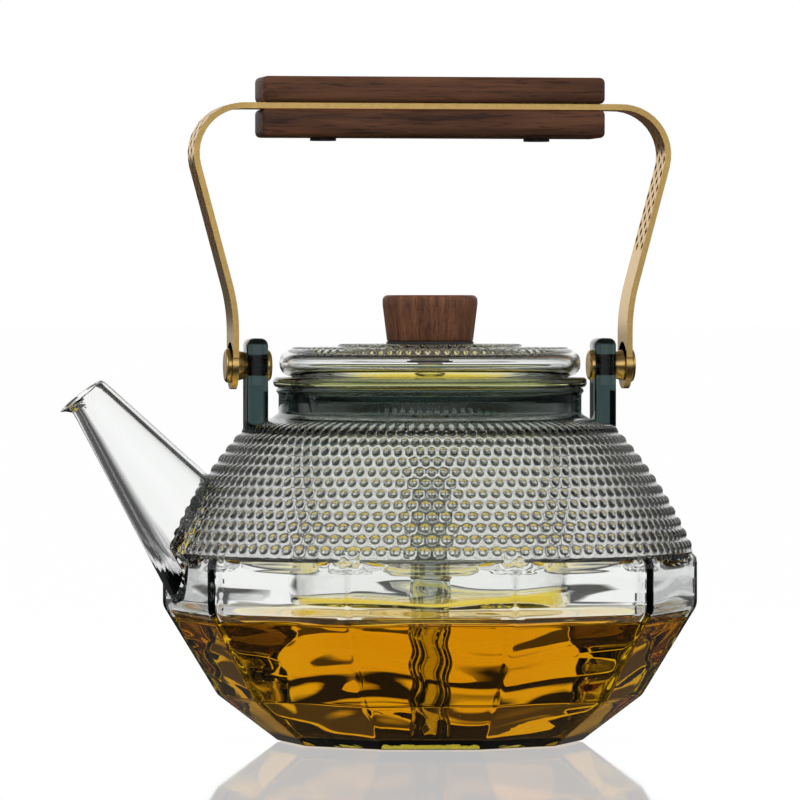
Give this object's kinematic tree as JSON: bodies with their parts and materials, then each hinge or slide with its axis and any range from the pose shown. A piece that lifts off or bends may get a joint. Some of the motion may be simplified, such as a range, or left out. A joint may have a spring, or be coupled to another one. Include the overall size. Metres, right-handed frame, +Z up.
{
  "type": "glass teapot",
  "caption": "Round glass teapot with a faceted base, dotted shoulder, straight spout, drop-in glass infuser, lid with a wooden knob and a swinging brass bail with a wooden grip.",
  "frame": {"origin": "centre of the flat base, on the surface the pot stands on", "axes": "+Z up, the spout points to -X, the bail swings about X"},
  "size_m": [0.1941, 0.1616, 0.2022],
  "materials": {
    "smoke_glass": "smoky grey-green blown glass",
    "clear_glass": "clear blown glass",
    "tinted_glass": "faintly yellow-green blown glass",
    "walnut": "oiled walnut",
    "brass": "satin brass",
    "silicone": "dark silicone",
    "steel": "bright steel",
    "dark_steel": "blackened steel"
  },
  "bodies": {
    "pot": {"pot_base": "smoke_glass", "pot_shoulder": "smoke_glass", "pot_neck": "smoke_glass", "spout": "clear_glass", "left_ear": "smoke_glass", "right_ear": "smoke_glass", "left_ear_sleeve": "silicone", "right_ear_sleeve": "silicone", "left_barrel_nut": "brass", "right_barrel_nut": "brass", "left_pivot_spacer": "brass", "right_pivot_spacer": "brass", "left_pivot_screw": "brass", "right_pivot_screw": "brass"},
    "infuser": {"infuser_cup": "tinted_glass", "steam_tube": "clear_glass"},
    "lid": {"lid": "clear_glass", "lid_knob": "walnut", "knob_gasket": "silicone", "knob_insert": "brass", "lid_seal": "silicone", "lid_washer": "steel", "knob_screw": "steel"},
    "handle": {"handle_strap": "brass", "grip_upper": "walnut", "grip_lower": "walnut", "grip_screws": "dark_steel", "grip_inserts": "brass"}
  },
  "joints": [
    {"name": "handle_swing", "type": "hinge", "parent": "pot", "child": "handle", "pos_m": [0, 0, 0.1145], "axis": [1, 0, 0], "range_deg": [-100, 100]},
    {"name": "infuser_lift", "type": "slide", "parent": "pot", "child": "infuser", "axis": [0, 0, 1], "range_m": [0, 0.02]},
    {"name": "lid_lift", "type": "slide", "parent": "infuser", "child": "lid", "axis": [0, 0, 1], "range_m": [0, 0.022]}
  ]
}
